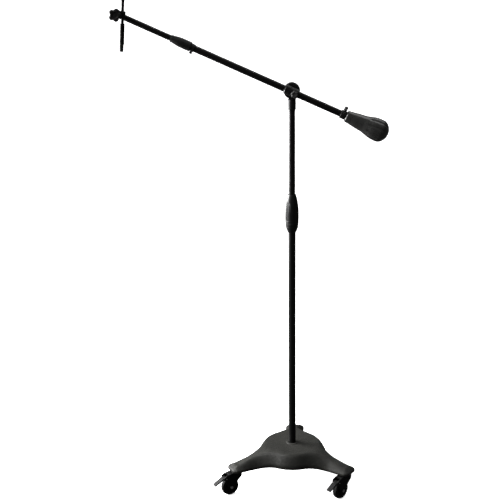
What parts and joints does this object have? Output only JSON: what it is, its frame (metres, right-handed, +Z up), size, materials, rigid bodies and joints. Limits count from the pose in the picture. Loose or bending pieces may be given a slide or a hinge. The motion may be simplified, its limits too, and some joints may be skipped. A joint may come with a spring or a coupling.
{
  "type": "boom microphone stand",
  "caption": "Studio boom stand for a microphone: weighted tripod base on braked casters, telescopic mast with hand clutch, and a tilting telescopic boom with counterweight and mini boom.",
  "frame": {"origin": "middle of the whole stand's footprint, boom included, on the floor that the caster tyres rest on", "axes": "+Z up along the mast; the boom lies in the XZ plane with its tip towards -X and its counterweight towards +X; one base leg points towards +Y"},
  "size_m": [1.0472, 0.4986, 1.9858],
  "materials": {
    "base_paint": "satin black powder coat with a fine texture over the casting",
    "weight_paint": "semi-gloss black enamel over the casting",
    "tube_paint": "satin black powder coat",
    "head_paint": "satin black powder coat over die casting",
    "clutch_rubber": "matt black moulded rubber with fine ribs",
    "black_plastic": "matt black moulded nylon",
    "grey_plastic": "dark grey moulded nylon",
    "caster_plastic": "black moulded nylon",
    "tyre": "black thermoplastic rubber tread",
    "steel": "zinc-plated steel",
    "thread_steel": "black-oxide thread"
  },
  "bodies": {
    "base": {"base_casting": "base_paint", "mast_washer": "steel", "mast_bolt": "steel", "mast_foot_plug": "steel", "lower_tube": "tube_paint", "clutch_body": "black_plastic", "clutch_collet": "black_plastic", "caster_stem_back": "steel", "caster_stem_left": "steel", "caster_stem_right": "steel"},
    "caster_back": {"caster_fork_back": "caster_plastic", "caster_axle_back": "steel", "pedal_pin_back": "steel"},
    "wheel_back": {"caster_hub_back": "caster_plastic", "caster_tyre_back": "tyre"},
    "pedal_back": {"brake_pedal_back": "caster_plastic"},
    "caster_left": {"caster_fork_left": "caster_plastic", "caster_axle_left": "steel", "pedal_pin_left": "steel"},
    "wheel_left": {"caster_hub_left": "caster_plastic", "caster_tyre_left": "tyre"},
    "pedal_left": {"brake_pedal_left": "caster_plastic"},
    "caster_right": {"caster_fork_right": "caster_plastic", "caster_axle_right": "steel", "pedal_pin_right": "steel"},
    "wheel_right": {"caster_hub_right": "caster_plastic", "caster_tyre_right": "tyre"},
    "pedal_right": {"brake_pedal_right": "caster_plastic"},
    "clutch_grip": {"clutch_grip": "clutch_rubber"},
    "upper_mast": {"upper_tube": "tube_paint", "upper_tube_guide": "black_plastic", "mast_spigot": "steel"},
    "head": {"head_bracket": "head_paint", "pivot_washer": "steel"},
    "boom_clamp": {"boom_clamp": "head_paint", "pivot_stud": "steel"},
    "pivot_knob": {"pivot_knob": "black_plastic"},
    "boom_lock_knob": {"boom_lock_knob": "grey_plastic"},
    "boom": {"boom_outer_tube": "tube_paint", "boom_end_plug": "black_plastic", "boom_collar": "black_plastic"},
    "boom_collar_screw": {"boom_collar_screw": "grey_plastic"},
    "inner_boom": {"boom_inner_tube": "tube_paint", "inner_tube_guide": "black_plastic", "tip_block": "head_paint"},
    "counterweight": {"counterweight": "weight_paint", "counterweight_collar": "black_plastic"},
    "counterweight_screw": {"counterweight_screw": "grey_plastic"},
    "tip_clamp": {"tip_clamp": "head_paint", "tip_bolt": "steel"},
    "tip_knob": {"tip_knob": "black_plastic"},
    "mini_boom": {"mini_boom_rod": "tube_paint", "mini_boom_cap": "black_plastic", "mini_boom_sleeve": "tube_paint", "mini_boom_stud": "thread_steel"}
  },
  "joints": [
    {"name": "caster_swivel_back", "type": "hinge", "parent": "base", "child": "caster_back", "pos_m": [0.15372, 0.22128, 0.09868], "axis": [0, 0, 1], "continuous": true},
    {"name": "wheel_spin_back", "type": "hinge", "parent": "caster_back", "child": "wheel_back", "pos_m": [0.1292, 0.20071, 0.03718], "axis": [0.6428, -0.766, 0], "continuous": true},
    {"name": "brake_press_back", "type": "hinge", "parent": "caster_back", "child": "pedal_back", "pos_m": [0.11235, 0.18657, 0.07868], "axis": [0.6428, -0.766, 0], "range_deg": [0, 18]},
    {"name": "caster_swivel_left", "type": "hinge", "parent": "base", "child": "caster_left", "pos_m": [-0.06885, -0.16422, 0.09868], "axis": [0, 0, 1], "continuous": true},
    {"name": "wheel_spin_left", "type": "hinge", "parent": "caster_left", "child": "wheel_left", "pos_m": [-0.09569, -0.18165, 0.03718], "axis": [0.5446, -0.8387, 0], "continuous": true},
    {"name": "brake_press_left", "type": "hinge", "parent": "caster_left", "child": "pedal_left", "pos_m": [-0.11414, -0.19363, 0.07868], "axis": [0.5446, -0.8387, 0], "range_deg": [0, 18]},
    {"name": "caster_swivel_right", "type": "hinge", "parent": "base", "child": "caster_right", "pos_m": [0.37628, -0.16422, 0.09868], "axis": [0, 0, 1], "continuous": true},
    {"name": "wheel_spin_right", "type": "hinge", "parent": "caster_right", "child": "wheel_right", "pos_m": [0.35487, -0.188, 0.03718], "axis": [0.7431, -0.6691, 0], "continuous": true},
    {"name": "brake_press_right", "type": "hinge", "parent": "caster_right", "child": "pedal_right", "pos_m": [0.34015, -0.20435, 0.07868], "axis": [0.7431, -0.6691, 0], "range_deg": [0, 18]},
    {"name": "clutch_twist", "type": "hinge", "parent": "base", "child": "clutch_grip", "pos_m": [0.15372, -0.03572, 1.16968], "axis": [0, 0, 1], "range_deg": [0, 90]},
    {"name": "mast_slide", "type": "slide", "parent": "base", "child": "upper_mast", "axis": [0, 0, 1], "range_m": [-0.33, 0.3]},
    {"name": "head_turn", "type": "hinge", "parent": "upper_mast", "child": "head", "pos_m": [0.15372, -0.03572, 1.57968], "axis": [0, 0, 1], "continuous": true},
    {"name": "boom_tilt", "type": "hinge", "parent": "head", "child": "boom_clamp", "pos_m": [0.15372, -0.03572, 1.63768], "axis": [0, 1, 0], "range_deg": [-54, 31]},
    {"name": "pivot_knob_turn", "type": "hinge", "parent": "boom_clamp", "child": "pivot_knob", "pos_m": [0.15372, -0.00572, 1.63768], "axis": [0, 1, 0], "range_deg": [0, 270]},
    {"name": "boom_lock_turn", "type": "hinge", "parent": "boom_clamp", "child": "boom_lock_knob", "pos_m": [0.1665, -0.08022, 1.63199], "axis": [0, -1, 0], "range_deg": [0, 270]},
    {"name": "boom_slide", "type": "slide", "parent": "boom_clamp", "child": "boom", "axis": [0.9135, 0, -0.4067], "range_m": [-0.08, 0.12]},
    {"name": "collar_screw_turn", "type": "hinge", "parent": "boom", "child": "boom_collar_screw", "pos_m": [-0.22465, -0.06172, 1.78972], "axis": [-0.4067, 0, -0.9135], "range_deg": [0, 270]},
    {"name": "boom_extend", "type": "slide", "parent": "boom", "child": "inner_boom", "axis": [0.9135, 0, -0.4067], "range_m": [-0.15, 0.1]},
    {"name": "counterweight_slide", "type": "slide", "parent": "boom", "child": "counterweight", "axis": [0.9135, 0, -0.4067], "range_m": [-0.05, 0.03]},
    {"name": "counterweight_screw_turn", "type": "hinge", "parent": "counterweight", "child": "counterweight_screw", "pos_m": [0.35664, -0.06172, 1.56485], "axis": [0.4067, 0, 0.9135], "range_deg": [0, 270]},
    {"name": "tip_tilt", "type": "hinge", "parent": "inner_boom", "child": "tip_clamp", "pos_m": [-0.5013, -0.06172, 1.92931], "axis": [0, 1, 0], "range_deg": [-45, 110]},
    {"name": "tip_knob_turn", "type": "hinge", "parent": "tip_clamp", "child": "tip_knob", "pos_m": [-0.5013, -0.08292, 1.92931], "axis": [0, -1, 0], "range_deg": [0, 270]},
    {"name": "mini_boom_slide", "type": "slide", "parent": "tip_clamp", "child": "mini_boom", "axis": [0.0698, 0, 0.9976], "range_m": [-0.035, 0.016]}
  ]
}
